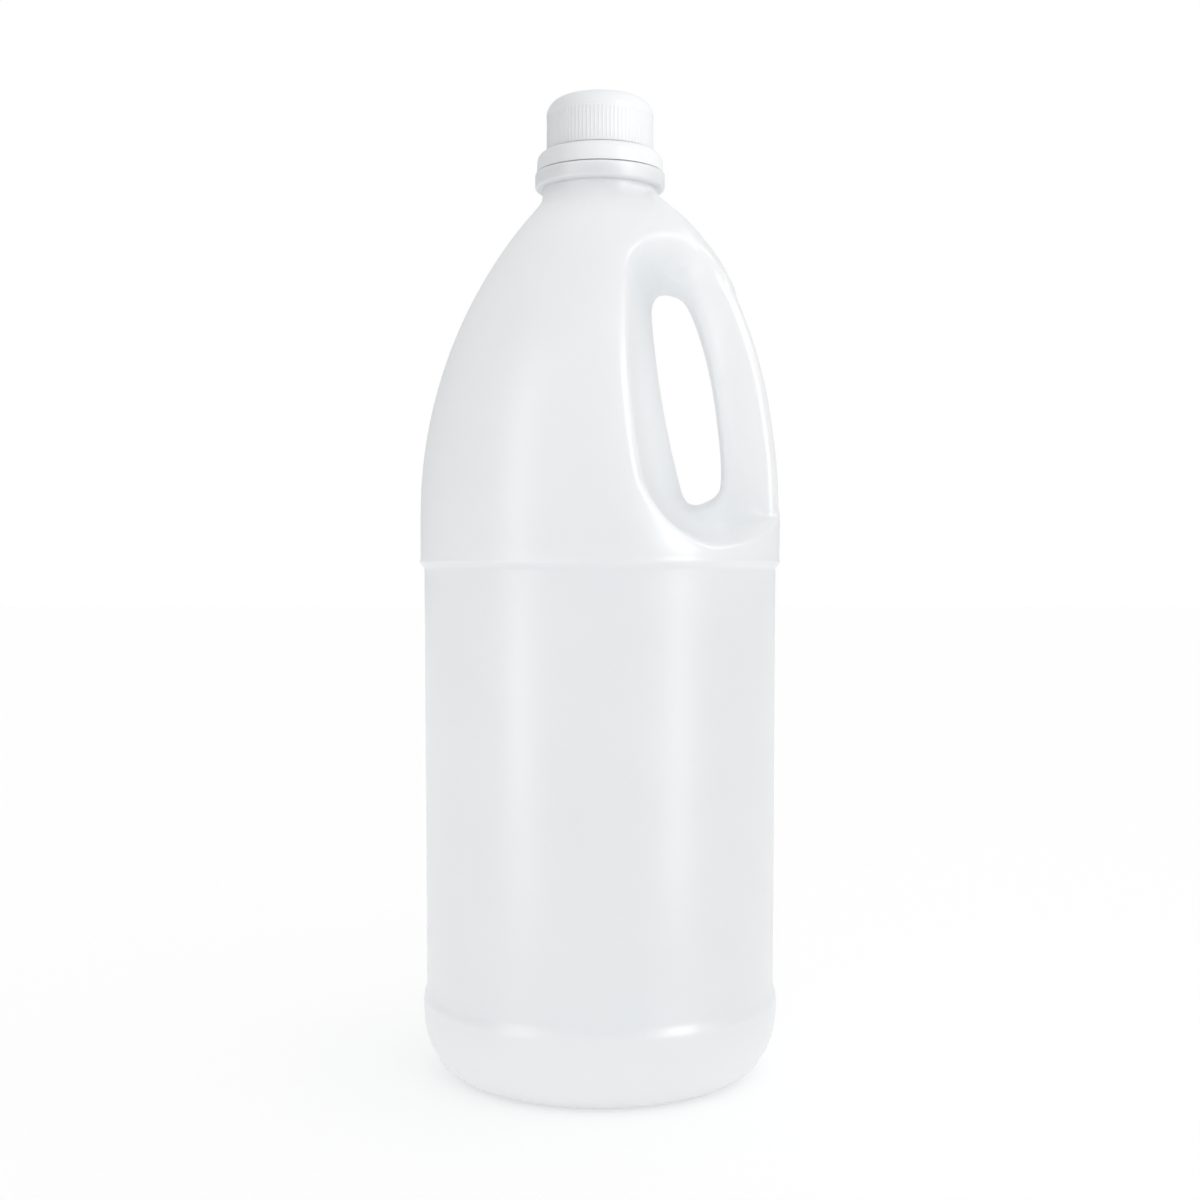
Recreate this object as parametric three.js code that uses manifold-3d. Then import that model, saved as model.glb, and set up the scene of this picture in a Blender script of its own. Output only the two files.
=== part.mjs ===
// A two-litre blow-moulded jug with a through-handle in its shoulder, a screw cap and a tamper band.
// Millimetres, +Z up, the origin at the centre of the base on the floor, the handle towards +X.
import * as THREE from "three";
import { mergeVertices } from "three/addons/utils/BufferGeometryUtils.js";
import Module from "manifold-3d";

const wasm = await Module();
wasm.setup();

// Body: radii and heights of the turned profile, from the floor up
const DISH_RADIUS = 28;
const DISH_RISE = 2.5;
const STANDING_INNER_RADIUS = 35;
const STANDING_RADIUS = 43;
const BASE_CORNER_HEIGHT = 20;
const BASE_RING_RADIUS = 56.2;
const BASE_RING_TOP = 23;
const PANEL_BOTTOM = 26.8;
const PANEL_BOTTOM_RADIUS = 55.2;
const PANEL_TOP = 158.6;
const PANEL_TOP_RADIUS = 55.8;
const STEP_TOP = 161.6;
const BODY_RADIUS = 57;
const SHOULDER_START = 175.3;
const SHOULDER_ARC = 147.3;
const SHOULDER_END_RADIUS = 19;
const THROAT_RADIUS = 18.1;
const THROAT_HEIGHT = 277;
const THROAT_BLEND = 2;

// Neck: the bead under the tamper band and the plain stub that the cap covers
const BEAD_RADIUS = 20.6;
const BEAD_BOTTOM = 278;
const BEAD_TOP = 283.9;
const BEAD_ROUND = 1.8;
const STUB_RADIUS = 14.5;
const STUB_TOP = 305.2;

// Finger hole, as its outline in the parting plane, left open past the handle
const HOLE = {
  farBottom: new THREE.Vector2(90, 178.3),
  farTop: new THREE.Vector2(90, 247.3),
  topLeft: new THREE.Vector2(23.5, 247.3),
  topCorner: new THREE.Vector2(16.3, 247.3),
  wallTop: new THREE.Vector2(16.3, 239.5),
  wallBow: new THREE.Vector2(18.5, 210.8),
  wallBottom: new THREE.Vector2(26, 183),
  bottomCorner: new THREE.Vector2(27.5, 178.3),
  bottomLeft: new THREE.Vector2(32.3, 178.3),
};

// Pockets beside the hole: the outline that they widen to at RIM_DEPTH on either side of the parting plane
const RIM = {
  farBottom: new THREE.Vector2(106, 165.6),
  farTop: new THREE.Vector2(106, 293.4),
  topLeft: new THREE.Vector2(19.9, 283),
  topCorner: new THREE.Vector2(6, 271.2),
  wallTop: new THREE.Vector2(3.7, 251.5),
  wallBow: new THREE.Vector2(7.2, 216.4),
  wallBottom: new THREE.Vector2(14.3, 182.4),
  bottomCorner: new THREE.Vector2(17.5, 168.1),
  bottomLeft: new THREE.Vector2(36, 165.6),
};
const RIM_DEPTH = 50;
const POCKET_DEPTH = 62;

// Handle strap: its outer edge from the neck to the body, and its grip edge from root to root
const STRAP_HALF_DEPTH = 11;
const STRAP_ROUND = 5;
const STRAP_ROUND_SHARE = 0.28;
const STRAP_STEPS = 22;
const STRAP_EDGE = [
  new THREE.Vector2(16.4, 277.2),
  new THREE.Vector2(27.2, 267.8),
  new THREE.Vector2(37.6, 255),
  new THREE.Vector2(46.1, 236.2),
  new THREE.Vector2(51.8, 217.2),
  new THREE.Vector2(55.2, 196),
  new THREE.Vector2(56.3, 178),
  new THREE.Vector2(56.2, 166),
];
const STRAP_GRIP = [
  new THREE.Vector2(10, 262),
  new THREE.Vector2(21.4, 250.2),
  new THREE.Vector2(28.2, 243),
  new THREE.Vector2(34, 226.8),
  new THREE.Vector2(37.6, 207.6),
  new THREE.Vector2(39.1, 187),
  new THREE.Vector2(35.6, 178),
  new THREE.Vector2(28, 169),
];

// Cap and tamper band
const CAP_BOTTOM = 290.9;
const CAP_TOP = 307.5;
const CAP_BOTTOM_RADIUS = 17.15;
const CAP_TOP_RADIUS = 17.05;
const CAP_EDGE_ROUND = 5.6;
const CAP_ROOF = 2;
const BAND_BOTTOM = 284.2;
const BAND_TOP = 290.6;
const BAND_BOTTOM_RADIUS = 20.1;
const BAND_RADIUS = 19.9;
const BAND_SHOULDER = 3;
const FIT_GAP = 0.3;

// Smoothness of the faceted surfaces
const TURN_SEGMENTS = 64;
const NECK_SEGMENTS = 48;
const CURVE_STEPS = 4;
const OUTLINE_STEPS = 8;
const EDGE_STEPS = 3;
const WELD_DISTANCE = 1e-3;

const milkyPlastic = new THREE.MeshStandardMaterial({ color: 0xe6e8ea, roughness: 0.38, metalness: 0 });
const whitePlastic = new THREE.MeshStandardMaterial({ color: 0xeeeff0, roughness: 0.32, metalness: 0 });

// Turns a profile of (radius, height) about the upright axis
function turned(profile, segments) {
  return new THREE.LatheGeometry(profile.getPoints(CURVE_STEPS), segments).rotateX(Math.PI / 2);
}

// Welds a geometry by position alone and wraps it as a solid
function solidFrom(geometry) {
  const bare = geometry.index ? geometry.toNonIndexed() : geometry.clone();
  bare.deleteAttribute("normal");
  bare.deleteAttribute("uv");
  const welded = mergeVertices(bare, WELD_DISTANCE);
  const vertProperties = welded.getAttribute("position").array;
  const triVerts = new Uint32Array(welded.index.array);
  return new wasm.Manifold(new wasm.Mesh({ numProp: 3, vertProperties, triVerts }));
}

function geometryFrom(solid) {
  const { vertProperties, triVerts } = solid.getMesh();
  const geometry = new THREE.BufferGeometry();
  geometry.setAttribute("position", new THREE.BufferAttribute(vertProperties, 3));
  geometry.setIndex(new THREE.BufferAttribute(triVerts, 1));
  geometry.computeVertexNormals();
  return geometry;
}

// A short S-curve between two upright stretches of a profile
function step(path, radius, height) {
  const { x, y } = path.currentPoint;
  const middle = (y + height) / 2;
  path.bezierCurveTo(x, middle, radius, middle, radius, height);
}

// The jug without its handle: dished base, base ring, plain panel, ring, shoulder, throat and neck
function bodyProfile() {
  const shoulderCentre = BODY_RADIUS - SHOULDER_ARC;
  const shoulderTurn = Math.acos((SHOULDER_END_RADIUS - shoulderCentre) / SHOULDER_ARC);
  const path = new THREE.Path();
  path.moveTo(0, DISH_RISE);
  path.lineTo(DISH_RADIUS, DISH_RISE);
  path.lineTo(STANDING_INNER_RADIUS, 0);
  path.lineTo(STANDING_RADIUS, 0);
  const cornerWidth = BASE_RING_RADIUS - STANDING_RADIUS;
  path.absellipse(STANDING_RADIUS, BASE_CORNER_HEIGHT, cornerWidth, BASE_CORNER_HEIGHT, -Math.PI / 2, 0);
  path.lineTo(BASE_RING_RADIUS, BASE_RING_TOP);
  step(path, PANEL_BOTTOM_RADIUS, PANEL_BOTTOM);
  path.lineTo(PANEL_TOP_RADIUS, PANEL_TOP);
  step(path, BODY_RADIUS, STEP_TOP);
  path.lineTo(BODY_RADIUS, SHOULDER_START);
  path.absarc(shoulderCentre, SHOULDER_START, SHOULDER_ARC, 0, shoulderTurn);
  path.quadraticCurveTo(THROAT_RADIUS, THROAT_HEIGHT - THROAT_BLEND, THROAT_RADIUS, THROAT_HEIGHT);
  path.lineTo(THROAT_RADIUS, BEAD_BOTTOM);
  path.quadraticCurveTo(BEAD_RADIUS, BEAD_BOTTOM, BEAD_RADIUS, BEAD_BOTTOM + BEAD_ROUND);
  path.lineTo(BEAD_RADIUS, BEAD_TOP - BEAD_ROUND);
  path.quadraticCurveTo(BEAD_RADIUS, BEAD_TOP, BEAD_RADIUS - BEAD_ROUND, BEAD_TOP);
  path.lineTo(STUB_RADIUS, BEAD_TOP);
  path.lineTo(STUB_RADIUS, STUB_TOP);
  path.lineTo(0, STUB_TOP);
  return path;
}

// The outline of the hole or the rim, with round corners and a bowed wall on the near side
function pocketOutline(points) {
  const { topCorner, wallTop, wallBow, wallBottom, bottomCorner, bottomLeft } = points;
  const outline = new THREE.Shape([points.farBottom, points.farTop, points.topLeft]);
  outline.quadraticCurveTo(topCorner.x, topCorner.y, wallTop.x, wallTop.y);
  outline.quadraticCurveTo(wallBow.x, wallBow.y, wallBottom.x, wallBottom.y);
  outline.quadraticCurveTo(bottomCorner.x, bottomCorner.y, bottomLeft.x, bottomLeft.y);
  return outline;
}

// The space round the grip: the hole's outline, which turns into the rim's towards the front and the back
function pocketGeometry() {
  const hole = pocketOutline(HOLE);
  const holePoints = hole.getPoints(OUTLINE_STEPS);
  const rimPoints = pocketOutline(RIM).getPoints(OUTLINE_STEPS);
  const settings = { depth: 2 * POCKET_DEPTH, steps: 2, curveSegments: OUTLINE_STEPS, bevelEnabled: false };
  const geometry = new THREE.ExtrudeGeometry(hole, settings).translate(0, 0, -POCKET_DEPTH);
  const positions = geometry.getAttribute("position");
  for (let i = 0; i < positions.count; i++) {
    const at = new THREE.Vector2(positions.getX(i), positions.getY(i));
    const k = holePoints.findIndex((point) => point.distanceTo(at) < WELD_DISTANCE);
    at.lerp(rimPoints[k], Math.abs(positions.getZ(i)) / RIM_DEPTH);
    positions.setXY(i, at.x, at.y);
  }
  return geometry.rotateX(Math.PI / 2);
}

// The section of the strap, one unit wide so that it can follow both edges, with rounded corners
function strapSection() {
  const flatX = 0.5 - STRAP_ROUND_SHARE;
  const flatY = STRAP_HALF_DEPTH - STRAP_ROUND;
  const section = new THREE.Shape();
  for (let quarter = 0; quarter < 4; quarter++) {
    const turn = (quarter * Math.PI) / 2;
    const centreX = quarter === 0 || quarter === 3 ? flatX : -flatX;
    const centreY = quarter < 2 ? flatY : -flatY;
    section.absellipse(centreX, centreY, STRAP_ROUND_SHARE, STRAP_ROUND, turn, turn + Math.PI / 2);
  }
  return section;
}

// The strap of the handle: a straight bar bent to lie between its two edges, both ends sunk in the body
function strapGeometry() {
  const edge = new THREE.SplineCurve(STRAP_EDGE);
  const grip = new THREE.SplineCurve(STRAP_GRIP);
  const settings = { depth: 1, steps: STRAP_STEPS, curveSegments: EDGE_STEPS, bevelEnabled: false };
  const geometry = new THREE.ExtrudeGeometry(strapSection(), settings);
  const positions = geometry.getAttribute("position");
  for (let i = 0; i < positions.count; i++) {
    const along = positions.getZ(i);
    const across = positions.getX(i) + 0.5;
    const point = grip.getPointAt(along).lerp(edge.getPointAt(along), across);
    positions.setXYZ(i, point.x, -positions.getY(i), point.y);
  }
  return geometry;
}

function jug() {
  const body = solidFrom(turned(bodyProfile(), TURN_SEGMENTS));
  const moulded = body.subtract(solidFrom(pocketGeometry())).add(solidFrom(strapGeometry()));
  const mesh = new THREE.Mesh(geometryFrom(moulded), milkyPlastic);
  mesh.name = "jug";
  return mesh;
}

// A cup over the neck stub, with a large round along its top edge
function cap() {
  const bore = STUB_RADIUS + FIT_GAP;
  const edgeCentre = CAP_TOP - CAP_EDGE_ROUND;
  const path = new THREE.Path();
  path.moveTo(0, CAP_TOP - CAP_ROOF);
  path.lineTo(bore, CAP_TOP - CAP_ROOF);
  path.lineTo(bore, CAP_BOTTOM);
  path.lineTo(CAP_BOTTOM_RADIUS, CAP_BOTTOM);
  path.lineTo(CAP_TOP_RADIUS, edgeCentre);
  path.absarc(CAP_TOP_RADIUS - CAP_EDGE_ROUND, edgeCentre, CAP_EDGE_ROUND, 0, Math.PI / 2);
  path.lineTo(0, CAP_TOP);
  const mesh = new THREE.Mesh(turned(path, NECK_SEGMENTS), whitePlastic);
  mesh.name = "cap";
  return mesh;
}

// The ring that stays on the neck when the cap is broken free
function tamperBand() {
  const bore = STUB_RADIUS + FIT_GAP;
  const shoulderCentre = BAND_TOP - BAND_SHOULDER;
  const path = new THREE.Path();
  path.moveTo(bore, BAND_BOTTOM);
  path.lineTo(BAND_BOTTOM_RADIUS, BAND_BOTTOM);
  path.lineTo(BAND_RADIUS, shoulderCentre);
  path.absarc(BAND_RADIUS - BAND_SHOULDER, shoulderCentre, BAND_SHOULDER, 0, Math.PI / 2);
  path.lineTo(bore, BAND_TOP);
  path.lineTo(bore, BAND_BOTTOM);
  const mesh = new THREE.Mesh(turned(path, NECK_SEGMENTS), whitePlastic);
  mesh.name = "tamper_band";
  return mesh;
}

const bleachJug = new THREE.Group();
bleachJug.add(jug(), cap(), tamperBand());

export default bleachJug;
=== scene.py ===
"""Dresses the bleach jug: a milky blow-moulded two-litre jug, its tamper band and its ribbed screw cap."""

import math

import bmesh
import bpy
import numpy as np
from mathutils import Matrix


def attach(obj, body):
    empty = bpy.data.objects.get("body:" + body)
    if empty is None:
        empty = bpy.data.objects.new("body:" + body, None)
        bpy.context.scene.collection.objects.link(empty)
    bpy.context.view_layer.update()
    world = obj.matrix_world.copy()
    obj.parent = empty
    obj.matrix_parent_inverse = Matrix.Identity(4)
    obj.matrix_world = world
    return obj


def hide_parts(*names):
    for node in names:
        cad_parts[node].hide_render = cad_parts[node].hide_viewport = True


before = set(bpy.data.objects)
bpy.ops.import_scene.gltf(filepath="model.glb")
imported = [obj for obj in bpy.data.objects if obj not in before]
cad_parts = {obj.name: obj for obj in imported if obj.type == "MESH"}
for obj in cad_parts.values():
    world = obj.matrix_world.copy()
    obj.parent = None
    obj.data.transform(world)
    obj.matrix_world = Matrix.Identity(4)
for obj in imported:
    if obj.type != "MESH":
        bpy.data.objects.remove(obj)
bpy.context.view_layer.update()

# Jug: a hollow bottle with its handle moulded through the shoulder, in one piece of milky polyethylene.
# It is blown in two mould halves that meet in the plane of the handle, where a fine seam runs all round it.
# Below the ring and above the throat it is turned, and the moulded shoulder joins the two. Sizes are in mm.
BODY_RADIUS = 57.0
SHOULDER_START = 175.3
SHOULDER_ARC = 147.3
THROAT_RADIUS = 18.1
THROAT_BLEND = 2.0
SHOULDER_CUT = 162.6
THROAT_CUT = 277.4
NECK_START = 278.3
SKIN_SIZE = 0.9
TURNS = 240

# The pocket's rim: its round, crisper along the sill below it and at the crest of the handle's root, and
# the shallow scoop in the shoulder beside its lower corner; each fades over a span of x or of heights
RIM_DEPTH = 50
RIM_FLARE = 0.7
RIM_BLEND = 3.4
PINCH_ROUND = 3.0
SCOOP_BLEND = 1.8
SCOOP_DROP = 0.75
SCOOP_WIDTH = 12.0
SCOOP_HEIGHTS = (192, 176)
SCOOP_END = (SHOULDER_CUT, 168)
SILL_BLEND = 0.9
SILL_SPAN = (31, 41)
CREST_BLEND = 1.4
CREST_SPAN = (21, 27)
CREST_HEIGHTS = (240, 250)

# The handle: its half depth, the round of its edges, the fillets at its roots, tighter where it runs flush
# into the sill and at the crown, and the lean of its upper faces, which thins it towards its outer edge
HANDLE_SIDE = -2.0
HANDLE_HALF_DEPTH = 11.0
HANDLE_ROUND = 4.4
ROOT_BLEND = 8.0
FLUSH_BLEND = 1.0
FLUSH_SPAN = (44, 54)
FLUSH_HEIGHTS = (205, 190)
CROWN_BLEND = 3.6
CROWN_HEIGHTS = (252, 268)
HANDLE_LEAN = 0.55
LEAN_EDGE = 38
LEAN_HEIGHTS = (241, 258)
LEAN_END = (278, 262)


def smooth_line(points, steps):
    """Points along a smooth curve through a few given ones."""
    given = np.array([points[0], *points, points[-1]], float)
    along = np.linspace(0, len(points) - 1, steps)
    first = np.minimum(along.astype(int), len(points) - 2)
    t = (along - first)[:, None]
    a, b, c, d = (given[first + k] for k in range(4))
    return b + 0.5 * t * (c - a + t * (2 * a - 5 * b + 4 * c - d + t * (3 * (b - c) + d - a)))


def bent_line(start, control, end, steps=16):
    """Points of one arch from start to end, drawn towards its control point."""
    t = np.linspace(0, 1, steps)[:, None]
    start, control, end = (np.array(p, float) for p in (start, control, end))
    return (1 - t) ** 2 * start + 2 * t * (1 - t) * control + t ** 2 * end


# The finger hole in the mould plane, open past the handle, the rim of its pockets half a body further out,
# and the handle between its two edges
hole_outline = np.concatenate((
    [(90, 178.3), (90, 247.3)],
    bent_line((23.5, 247.3), (16.3, 247.3), (16.3, 239.5)),
    bent_line((16.3, 239.5), (18.5, 210.8), (26, 183), 40)[1:],
    bent_line((26, 183), (27.5, 178.3), (32.3, 178.3))[1:],
))
rim_outline = np.concatenate((
    [(106, 164.1), (106, 272)],
    bent_line((32.3, 278.2), (8.2, 262.5), (7, 251.9)),
    bent_line((7, 251.9), (6.5, 216.6), (12.6, 184.1), 40)[1:],
    bent_line((12.6, 184.1), (18.8, 167.1), (37.8, 164.5))[1:],
))
handle_edge = smooth_line([(15.8, 277.2), (26.7, 267.8), (37.6, 255), (46.1, 236.2), (51.8, 217.2),
                           (55.2, 196), (56.3, 178), (56.2, 166)], 60)
handle_grip = smooth_line([(10, 262), (21.4, 250.2), (28.2, 243), (34, 226.8), (37.6, 207.6),
                           (39.1, 187), (35.6, 178), (28, 169)], 60)
handle_outline = np.concatenate((handle_edge, handle_grip[::-1]))


def outline_distance(outline, x, z):
    """Distance of points from a closed outline, negative inside it; each point may have its own outline."""
    nearest = np.full(x.shape, np.inf)
    inside = np.zeros(x.shape, bool)
    for (ax, az), (bx, bz) in zip(outline, np.roll(outline, -1, 0)):
        ex, ez = bx - ax, bz - az
        share = np.clip(((x - ax) * ex + (z - az) * ez) / (ex * ex + ez * ez), 0, 1)
        nearest = np.minimum(nearest, (x - ax - share * ex) ** 2 + (z - az - share * ez) ** 2)
        inside ^= ((az > z) != (bz > z)) & ((x - ax) * np.abs(ez) < ex * (z - az) * np.sign(ez))
    return np.where(inside, -1, 1) * np.sqrt(nearest)


def eased(value, start, end):
    """Goes softly from 0 at the start to 1 at the end."""
    share = np.clip((value - start) / (end - start), 0, 1)
    return share * share * (3 - 2 * share)


def soft_least(a, b, blend):
    """The smaller of two distances, with a round of that size where they meet."""
    near = np.clip(blend - np.abs(a - b), 0, None)
    return np.minimum(a, b) - near * near / (4 * blend)


def shoulder_form(points):
    """Distance from the moulded shoulder: the ogive and throat, less the finger pockets, with the handle."""
    x, y, z = points.T
    radius = np.hypot(x, y)
    rise = np.clip(z - SHOULDER_START, 0, None)
    ogive = np.hypot(radius - BODY_RADIUS + SHOULDER_ARC, rise) - SHOULDER_ARC
    body = soft_least(ogive, radius - THROAT_RADIUS, THROAT_BLEND)
    side = x > HANDLE_SIDE
    x, y, z = x[side], y[side], z[side]

    out = (np.hypot(y, PINCH_ROUND) - PINCH_ROUND) / RIM_DEPTH
    reach = out + RIM_FLARE * (out - out * out)
    outline = hole_outline[:, :, None] + (rim_outline - hole_outline)[:, :, None] * reach
    pocket = outline_distance(outline, x, z)
    low, outer = eased(z, *SCOOP_HEIGHTS), eased(x, *SILL_SPAN)
    rim_blend = RIM_BLEND + low * (SCOOP_BLEND + (SILL_BLEND - SCOOP_BLEND) * outer - RIM_BLEND)
    rim_blend += (CREST_BLEND - RIM_BLEND) * eased(x, *CREST_SPAN) * eased(z, *CREST_HEIGHTS)
    scoop = SCOOP_DROP * low * (1 - outer) * eased(z, *SCOOP_END)
    scoop *= np.clip(1 - np.clip(pocket, 0, None) / SCOOP_WIDTH, 0, 1) ** 2
    hollowed = -soft_least(-body[side] - scoop, pocket, rim_blend)

    lean = HANDLE_LEAN * eased(z, *LEAN_HEIGHTS) * eased(z, *LEAN_END)
    across = outline_distance(handle_outline, x, z) + HANDLE_ROUND
    deep = np.abs(y) - HANDLE_HALF_DEPTH + lean * (x - LEAN_EDGE) + HANDLE_ROUND
    corner = np.hypot(np.clip(across, 0, None), np.clip(deep, 0, None))
    handle = corner + np.minimum(np.maximum(across, deep), 0) - HANDLE_ROUND
    root_blend = ROOT_BLEND + (FLUSH_BLEND - ROOT_BLEND) * eased(x, *FLUSH_SPAN) * eased(z, *FLUSH_HEIGHTS)
    root_blend += (CROWN_BLEND - ROOT_BLEND) * eased(z, *CROWN_HEIGHTS)
    body[side] = soft_least(hollowed, handle, root_blend)
    return body


PROBE_STEP = 0.05
FLATTEST_SLOPE = 0.05
LONGEST_MOVE = 1.5


def settle(bm, passes):
    """Moves a mesh's vertices onto the moulded shoulder."""
    points = np.array([v.co for v in bm.verts])
    for _ in range(passes):
        value = shoulder_form(points)
        slope = np.empty_like(points)
        for axis in range(3):
            nudge = np.zeros(3)
            nudge[axis] = PROBE_STEP
            slope[:, axis] = (shoulder_form(points + nudge) - value) / PROBE_STEP
        move = value / np.maximum((slope ** 2).sum(1), FLATTEST_SLOPE)
        points -= np.clip(move, -LONGEST_MOVE, LONGEST_MOVE)[:, None] * slope
    for vert, point in zip(bm.verts, points):
        vert.co = point


def turn_profile(bm, profile, turns):
    """Turns an open profile of (radius, height) points about the upright axis."""
    verts = [bm.verts.new((r, 0, z)) for r, z in profile]
    edges = [bm.edges.new(pair) for pair in zip(verts, verts[1:])]
    bmesh.ops.spin(bm, geom=verts + edges, cent=(0, 0, 0), axis=(0, 0, 1), angle=math.tau, steps=turns,
                   use_merge=True)


def round_corner(centre, size, start, end, steps):
    """Points of an elliptic round in a profile, by its centre, half width and half height, and angles."""
    return [(centre[0] + size[0] * math.cos(a), centre[1] + size[1] * math.sin(a))
            for a in (math.radians(start + (end - start) * k / steps) for k in range(steps + 1))]


def ledge(start, end, steps=8):
    """Points of a soft step between two upright stretches of a profile, without its ends."""
    shares = [k / steps for k in range(1, steps)]
    return [(start[0] + (end[0] - start[0]) * s * s * (3 - 2 * s), start[1] + (end[1] - start[1]) * s)
            for s in shares]


def heights(start, end, steps):
    """Points up a nearly straight stretch of a profile."""
    return [(start[0] + (end[0] - start[0]) * k / steps, start[1] + (end[1] - start[1]) * k / steps)
            for k in range(steps + 1)]


# Below the shoulder: a dished base in a flat foot, the heel, the base ring, the panel and the upper ring
DISH_HEIGHT = 2.5
HEEL_CENTRE = (43, 20)
HEEL_SIZE = (13.2, 20)
BASE_RING_RADIUS = 56.2
PANEL_FOOT = (55.2, 26.8)
PANEL_TOP = (55.8, 158.4)
RING_RADIUS = 57.15
RING_LIP = (RING_RADIUS, 161.0)
jug_bm = bmesh.new()
base_profile = [(0, DISH_HEIGHT), (14, DISH_HEIGHT), (26, DISH_HEIGHT)]
base_profile += ledge((27, DISH_HEIGHT), (36, 0), 6)
base_profile += [(38, 0), (41, 0)]
base_profile += round_corner(HEEL_CENTRE, HEEL_SIZE, -90, 0, 18)
base_profile += [(BASE_RING_RADIUS, 21.5), (BASE_RING_RADIUS, 22.8)]
base_profile += ledge((BASE_RING_RADIUS, 22.8), PANEL_FOOT)
base_profile += heights(PANEL_FOOT, PANEL_TOP, 44)
base_profile += ledge(PANEL_TOP, RING_LIP)
base_profile += [RING_LIP, (RING_RADIUS, 161.3), (57.04, 161.8), (BODY_RADIUS, 162.1)]
turn_profile(jug_bm, base_profile, TURNS)

# Above the throat: the bead under the tamper band, and the plain neck inside the cap
NECK_RADIUS = 14.5
NECK_FOOT, NECK_TOP = 283.9, 305.2
neck_profile = [(THROAT_RADIUS, THROAT_CUT + 0.3)]
neck_profile += round_corner((THROAT_RADIUS + 0.5, 278.4), (0.5, 0.4), 180, 90, 3)[1:]
neck_profile += round_corner((18.8, 279.8), (1.8, 1.0), -90, 0, 5)
neck_profile += round_corner((20.0, 283.4), (0.6, 0.5), 0, 90, 6)
neck_profile += [(NECK_RADIUS, NECK_FOOT), (NECK_RADIUS, NECK_TOP), (0, NECK_TOP)]
turn_profile(jug_bm, neck_profile, TURNS // 2)

# An even skin over a merged copy of the solid, settled on the moulded form and cut off square at both ends
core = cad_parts["jug"].copy()
core.data = core.data.copy()
bpy.context.scene.collection.objects.link(core)
skin_bm = bmesh.new()
skin_bm.from_mesh(core.data)
bmesh.ops.remove_doubles(skin_bm, verts=skin_bm.verts, dist=1e-6)
skin_bm.to_mesh(core.data)
skin_bm.free()
skin = core.modifiers.new("even_skin", "REMESH")
skin.mode = "VOXEL"
skin.voxel_size = SKIN_SIZE / 1000
evaluated = core.evaluated_get(bpy.context.evaluated_depsgraph_get())
skin_bm = bmesh.new()
skin_bm.from_mesh(evaluated.to_mesh())
bpy.data.objects.remove(core)
bmesh.ops.scale(skin_bm, vec=(1000, 1000, 1000), verts=skin_bm.verts)


def cut_square(bm, height, keep_above):
    """Cuts a mesh at a height and keeps one side."""
    bmesh.ops.bisect_plane(bm, geom=bm.verts[:] + bm.edges[:] + bm.faces[:], dist=0.01,
                           plane_co=(0, 0, height), plane_no=(0, 0, 1),
                           clear_inner=keep_above, clear_outer=not keep_above)


cut_square(skin_bm, SHOULDER_CUT - 2, True)
cut_square(skin_bm, THROAT_CUT + 0.5, False)
settle(skin_bm, 3)
for passes in (1, 1, 2):
    bmesh.ops.smooth_vert(skin_bm, verts=skin_bm.verts, factor=0.5,
                          use_axis_x=True, use_axis_y=True, use_axis_z=True)
    settle(skin_bm, passes)
cut_square(skin_bm, SHOULDER_CUT, True)
cut_square(skin_bm, THROAT_CUT, False)
skin_mesh = bpy.data.meshes.new("shoulder_skin")
skin_bm.to_mesh(skin_mesh)
skin_bm.free()
jug_bm.from_mesh(skin_mesh)
bpy.data.meshes.remove(skin_mesh)
for low, high in ((SHOULDER_CUT - 1, SHOULDER_CUT + 0.1), (THROAT_CUT - 0.1, THROAT_CUT + 0.6)):
    rims = [e for e in jug_bm.edges if e.is_boundary and all(low < v.co.z < high for v in e.verts)]
    bmesh.ops.bridge_loops(jug_bm, edges=rims)
bmesh.ops.remove_doubles(jug_bm, verts=jug_bm.verts, dist=0.01)
bmesh.ops.recalc_face_normals(jug_bm, faces=jug_bm.faces)

# The seam of the two mould halves: a fine ridge in the plane of the handle
SEAM_HALF_WIDTH = 0.3
SEAM_HEIGHT = 0.12
SEAM_FOOT, SEAM_TOP = 3, 277
SEAM_SNAP = 0.06
for offset in (-SEAM_HALF_WIDTH, 0, SEAM_HALF_WIDTH):
    bmesh.ops.bisect_plane(jug_bm, geom=jug_bm.verts[:] + jug_bm.edges[:] + jug_bm.faces[:], dist=0.05,
                           plane_co=(0, offset, 0), plane_no=(0, 1, 0))
jug_bm.normal_update()
for vert in jug_bm.verts:
    if abs(vert.co.y) < SEAM_SNAP and SEAM_FOOT < vert.co.z < SEAM_TOP:
        vert.co += vert.normal * SEAM_HEIGHT


def finish_piece(bm, name, node, material):
    """Turns a finished bmesh into a smooth piece in metres that stands for a CAD node."""
    bmesh.ops.scale(bm, vec=(0.001, 0.001, 0.001), verts=bm.verts)
    for face in bm.faces:
        face.smooth = True
    mesh = bpy.data.meshes.new(name)
    bm.to_mesh(mesh)
    bm.free()
    piece = bpy.data.objects.new(name, mesh)
    bpy.context.scene.collection.objects.link(piece)
    mesh.materials.append(material)
    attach(piece, "root")
    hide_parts(node)
    return piece


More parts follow.
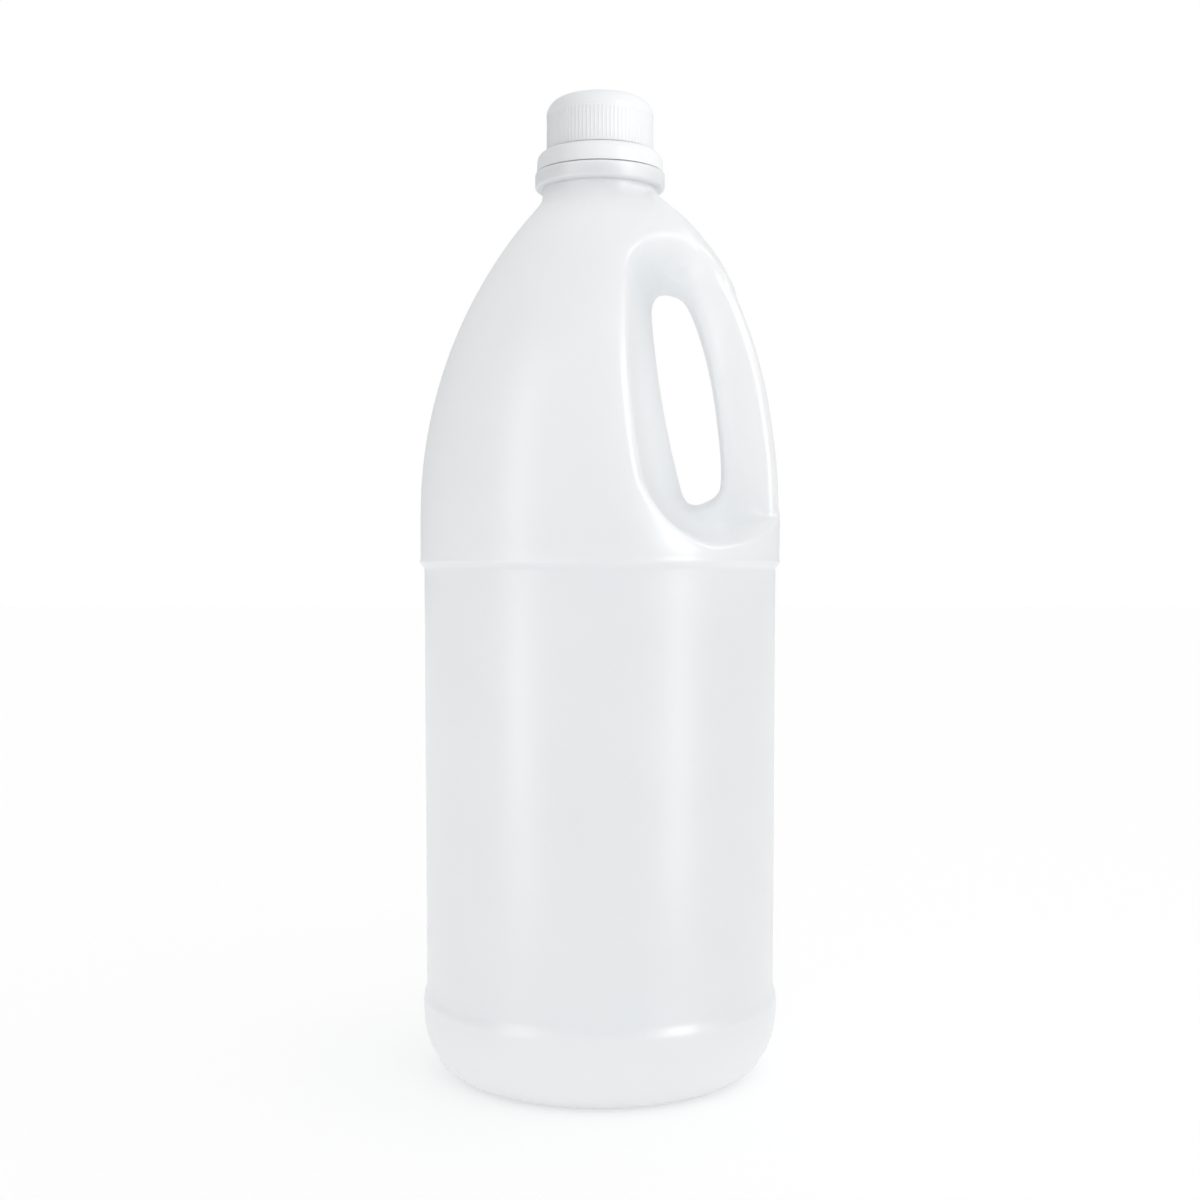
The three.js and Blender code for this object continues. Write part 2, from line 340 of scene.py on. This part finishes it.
def moulded_grain_group():
    """Cloudiness of the resin, uneven gloss and fine mould grain, for any moulded plastic."""
    group = bpy.data.node_groups.new("moulded_grain", "ShaderNodeTree")
    sockets = {
        "INPUT": (("Colour", "Color"), ("Cloud Colour", "Color"), ("Cloud Scale", "Float"),
                  ("Gloss Low", "Float"), ("Gloss High", "Float"), ("Grain Scale", "Float")),
        "OUTPUT": (("Colour", "Color"), ("Roughness", "Float"), ("Grain", "Float")),
    }
    for way, named in sockets.items():
        for name, kind in named:
            group.interface.new_socket(name, in_out=way, socket_type="NodeSocket" + kind)
    entry = group.nodes.new("NodeGroupInput")
    result = group.nodes.new("NodeGroupOutput")
    place = group.nodes.new("ShaderNodeTexCoord")
    cloud = group.nodes.new("ShaderNodeTexNoise")
    cloud.inputs["Detail"].default_value = 3
    grain = group.nodes.new("ShaderNodeTexNoise")
    grain.inputs["Detail"].default_value = 2
    gloss = group.nodes.new("ShaderNodeTexNoise")
    gloss.inputs["Scale"].default_value = 160
    gloss.inputs["Detail"].default_value = 4
    mix = group.nodes.new("ShaderNodeMix")
    mix.data_type = "RGBA"
    spread = group.nodes.new("ShaderNodeMapRange")
    spread.inputs["From Min"].default_value = 0.3
    spread.inputs["From Max"].default_value = 0.7
    link = group.links.new
    for texture in (cloud, grain, gloss):
        link(place.outputs["Object"], texture.inputs["Vector"])
    link(entry.outputs["Cloud Scale"], cloud.inputs["Scale"])
    link(entry.outputs["Grain Scale"], grain.inputs["Scale"])
    link(cloud.outputs["Fac"], mix.inputs["Factor"])
    link(entry.outputs["Colour"], mix.inputs["A"])
    link(entry.outputs["Cloud Colour"], mix.inputs["B"])
    link(gloss.outputs["Fac"], spread.inputs["Value"])
    link(entry.outputs["Gloss Low"], spread.inputs["To Min"])
    link(entry.outputs["Gloss High"], spread.inputs["To Max"])
    link(mix.outputs["Result"], result.inputs["Colour"])
    link(spread.outputs["Result"], result.inputs["Roughness"])
    link(grain.outputs["Fac"], result.inputs["Grain"])
    return group


moulded_grain = moulded_grain_group()
GRAIN_DEPTH = 0.0001
MILKY_BUMP = 0.06


def moulded_plastic(name, values, bump):
    """A plastic with the moulded grain; its group's values are given by name."""
    material = bpy.data.materials.new(name)
    material.use_nodes = True
    nodes, link = material.node_tree.nodes, material.node_tree.links.new
    grain = nodes.new("ShaderNodeGroup")
    grain.node_tree = moulded_grain
    for key, value in values.items():
        grain.inputs[key].default_value = value
    relief = nodes.new("ShaderNodeBump")
    relief.inputs["Strength"].default_value = bump
    relief.inputs["Distance"].default_value = GRAIN_DEPTH
    shader = nodes["Principled BSDF"]
    link(grain.outputs["Colour"], shader.inputs["Base Color"])
    link(grain.outputs["Roughness"], shader.inputs["Roughness"])
    link(grain.outputs["Grain"], relief.inputs["Height"])
    link(relief.outputs["Normal"], shader.inputs["Normal"])
    return material


def milky_plastic(name, values, glow_depth):
    """A moulded plastic that light wanders into, to a depth in metres."""
    material = moulded_plastic(name, values, MILKY_BUMP)
    shader = material.node_tree.nodes["Principled BSDF"]
    shader.inputs["Subsurface Weight"].default_value = 1.0
    shader.inputs["Subsurface Radius"].default_value = (1, 1, 1)
    shader.inputs["Subsurface Scale"].default_value = glow_depth
    return material


milky_values = {
    "Colour": (0.85, 0.865, 0.876, 1), "Cloud Colour": (0.825, 0.843, 0.855, 1), "Cloud Scale": 45,
    "Gloss Low": 0.30, "Gloss High": 0.36, "Grain Scale": 500}
milky = milky_plastic("milky_polyethylene", milky_values, glow_depth=0.025)
jug = finish_piece(jug_bm, "moulded_jug", "jug", milky)

# The thick bead and neck, in the same plastic, let less light through. Their colour is also made darker as
# painted shade, to tone down how brightly the lights show on them.
neck_shaded_values = {**milky_values, "Colour": (0.715, 0.73, 0.74, 1), "Cloud Colour": (0.69, 0.71, 0.72, 1)}
jug.data.materials.append(milky_plastic("neck_shaded_polyethylene", neck_shaded_values, glow_depth=0.002))
for face in jug.data.polygons:
    face.material_index = int(face.center.z > NECK_START / 1000)

# Tamper band: the low ring that stays under the cap when the cap is broken free. It is moulded with the cap
# in opaque white plastic, has a rounded shoulder, and sits on the bead of the neck.
BAND_BORE = 14.8
BAND_FOOT, BAND_TOP = 284.2, 290.6
BAND_TURNS = 160
band_bm = bmesh.new()
band_profile = [(BAND_BORE, BAND_TOP), (BAND_BORE, BAND_FOOT), (19.6, BAND_FOOT)]
band_profile += round_corner((19.88, 284.42), (0.22, 0.22), -90, 0, 3)
band_profile += [(20.0, 286)]
band_profile += round_corner((16.9, 287.6), (3.0, 3.0), 0, 90, 10)
band_profile += [(BAND_BORE, BAND_TOP)]
turn_profile(band_bm, band_profile, BAND_TURNS)
bmesh.ops.remove_doubles(band_bm, verts=band_bm.verts, dist=0.005)
bmesh.ops.recalc_face_normals(band_bm, faces=band_bm.faces)
white_values = {
    "Colour": (0.86, 0.87, 0.88, 1), "Cloud Colour": (0.82, 0.835, 0.85, 1), "Cloud Scale": 90,
    "Gloss Low": 0.30, "Gloss High": 0.38, "Grain Scale": 2600}
opaque_white = moulded_plastic("opaque_white_plastic", white_values, bump=0.10)
band = finish_piece(band_bm, "tamper_ring", "tamper_band", opaque_white)

# Screw cap: a low white cup with a large round along its top edge and fine upright ribs for grip.
# It is moulded in opaque white plastic and screws down on the neck against the tamper band.
RIBS = 86
RIB_HEIGHT = 0.12
RIB_MARGIN = 0.16
RIB_FOOT, RIB_TOP = 292, 300
WALL_INSIDE = 16
CAP_BORE = 14.8
CAP_FOOT, CAP_CEILING, CAP_TOP = 290.9, 305.5, 307.5
cap_bm = bmesh.new()
cap_profile = [(0, CAP_CEILING), (CAP_BORE, CAP_CEILING), (CAP_BORE, CAP_FOOT)]
cap_profile += [(16.7, CAP_FOOT), (16.85, 291.05), (16.85, 291.6), (16.8, 301.4)]
cap_profile += round_corner((11.45, 301.9), (5.6, 5.6), 4, 90, 12)
cap_profile += [(6, CAP_TOP), (0, CAP_TOP)]
turn_profile(cap_bm, cap_profile, RIBS * 2)
bmesh.ops.remove_doubles(cap_bm, verts=cap_bm.verts, dist=0.005)
bmesh.ops.recalc_face_normals(cap_bm, faces=cap_bm.faces)
cap_bm.normal_update()
middles = {face: face.calc_center_median() for face in cap_bm.faces}
wall = [f for f, m in middles.items() if m.xy.length > WALL_INSIDE and RIB_FOOT < m.z < RIB_TOP]
wall.sort(key=lambda f: math.atan2(middles[f].y, middles[f].x))
bmesh.ops.inset_individual(cap_bm, faces=wall[::2], thickness=RIB_MARGIN, depth=RIB_HEIGHT)
cap = finish_piece(cap_bm, "ribbed_cap", "cap", opaque_white)

# Camera: half a metre in front of the jug, a little above the height of its middle. It is tipped down by
# about a degree, with a lens that shows the jug with room on all sides.
camera = bpy.data.objects.new("camera", bpy.data.cameras.new("camera"))
camera.data.sensor_width = 36
camera.data.lens = 48.16
camera.location = (0, -0.5135, 0.159)
camera.rotation_euler = (math.radians(90 - 1.142), 0, 0)
bpy.context.scene.collection.objects.link(camera)
bpy.context.scene.camera = camera

# Floor: a wide white sheet under the jug, matt and bright enough to run into the white room behind it.
# It belongs to the studio and not to the object.
floor_bm = bmesh.new()
bmesh.ops.create_grid(floor_bm, x_segments=1, y_segments=1, size=6)
floor_mesh = bpy.data.meshes.new("floor")
floor_bm.to_mesh(floor_mesh)
floor_bm.free()
floor = bpy.data.objects.new("floor", floor_mesh)
bpy.context.scene.collection.objects.link(floor)
floor_white = bpy.data.materials.new("white_floor")
floor_white.use_nodes = True
floor_inputs = floor_white.node_tree.nodes["Principled BSDF"].inputs
floor_inputs["Base Color"].default_value = (0.85, 0.85, 0.85, 1)
floor_inputs["Emission Color"].default_value = (1, 1, 1, 1)
floor_inputs["Emission Strength"].default_value = 0.3
floor_inputs["Roughness"].default_value = 0.9
floor_inputs["Specular IOR Level"].default_value = 0
floor_mesh.materials.append(floor_white)


# Lights: tall soft lights at the right and the left, most of them for the jug alone. The gleams only show
# in its gloss, as lines down the panel and along the pocket's rim, and the fills brighten its walls.
def soft_light(name, azimuth, distance, low, high, width, power, lit, gleam_only=False):
    """A tall rectangular light that faces the jug, by its bearing from the camera's side, for some pieces."""
    light = bpy.data.lights.new(name, "AREA")
    light.shape = "RECTANGLE"
    light.size = width
    light.size_y = high - low
    light.energy = power
    holder = bpy.data.objects.new(name, light)
    turn = math.radians(azimuth)
    holder.location = (distance * math.sin(turn), -distance * math.cos(turn), (low + high) / 2)
    holder.rotation_euler = (math.radians(90), 0, turn)
    holder.visible_diffuse = not gleam_only
    holder.visible_camera = False
    bpy.context.scene.collection.objects.link(holder)
    holder.light_linking.receiver_collection = bpy.data.collections.new(name + "_lit")
    for piece in lit:
        holder.light_linking.receiver_collection.objects.link(piece)
    return holder


def gleam(name, azimuth, distance, low, high, width, power):
    """A soft light that only shows in the gloss of the jug."""
    soft_light(name, azimuth, distance, low, high, width, power, lit=(jug,), gleam_only=True)


soft_light("key_light", azimuth=48, distance=0.9, low=0.24, high=0.9, width=0.19, power=3.0, lit=(cap, band))
gleam("key_gleam", azimuth=51, distance=0.9, low=0.2, high=0.9, width=0.2, power=6.0)
gleam("key_low_gleam", azimuth=46, distance=0.3, low=0.0, high=0.12, width=0.08, power=0.09)
gleam("right_gleam", azimuth=86, distance=0.9, low=0.58, high=0.82, width=0.11, power=1.8)
gleam("side_gleam", azimuth=-51, distance=0.9, low=0.0, high=0.9, width=0.24, power=1.7)
gleam("side_low_gleam", azimuth=-46, distance=0.3, low=0.0, high=0.12, width=0.08, power=0.06)
soft_light("front_fill", azimuth=-35, distance=1.3, low=0.2, high=1.6, width=1.2, power=3.0, lit=(jug,))
key_fill = soft_light("key_fill", azimuth=70, distance=0.9, low=0.3, high=0.9, width=0.3, power=0.3,
                      lit=(jug,))
key_fill.visible_glossy = False
neck_light = soft_light("neck_light", azimuth=52, distance=0.45, low=0.3, high=0.33, width=0.08, power=0.011,
                        lit=(jug,))
neck_light.data.spread = math.radians(14)

# The glow of light that comes through the milky walls into the finger pockets
GLOW_DEPTH = 0.022
for name, depth in (("front_pocket_glow", -GLOW_DEPTH), ("back_pocket_glow", GLOW_DEPTH)):
    glow = soft_light(name, azimuth=90, distance=0.04, low=0.175, high=0.24, width=0.012, power=0.0022,
                      lit=(jug,))
    glow.location.y = depth
    glow.visible_glossy = False

# Room: plain white to the camera. On the jug it shines less from the far left, so that the left edge stands
# out from the white, and more from above.
world = bpy.data.worlds.new("white_room")
bpy.context.scene.world = world
world.use_nodes = True
nodes, link = world.node_tree.nodes, world.node_tree.links.new
place = nodes.new("ShaderNodeTexCoord")
split = nodes.new("ShaderNodeSeparateXYZ")
link(place.outputs["Generated"], split.inputs["Vector"])


def room_shine(axis, limits, strengths):
    """A strength that goes from one value to another along an axis of the room."""
    shine = nodes.new("ShaderNodeMapRange")
    for key, value in zip(("From Min", "From Max", "To Min", "To Max"), limits + strengths):
        shine.inputs[key].default_value = value
    link(split.outputs[axis], shine.inputs["Value"])
    return shine


side = room_shine("X", (-0.9, 0.2), (0.46, 0.68))
side.interpolation_type = "SMOOTHSTEP"
top = room_shine("Z", (0.2, 0.9), (0.0, 0.3))
total = nodes.new("ShaderNodeMath")
link(side.outputs["Result"], total.inputs[0])
link(top.outputs["Result"], total.inputs[1])
seen = nodes.new("ShaderNodeLightPath")
room = nodes.new("ShaderNodeMix")
link(seen.outputs["Is Camera Ray"], room.inputs["Factor"])
link(total.outputs["Value"], room.inputs["A"])
room.inputs["B"].default_value = 1.0
link(room.outputs["Result"], nodes["Background"].inputs["Strength"])
nodes["Background"].inputs["Color"].default_value = (1, 1, 1, 1)
bpy.context.scene.view_settings.view_transform = "Standard"
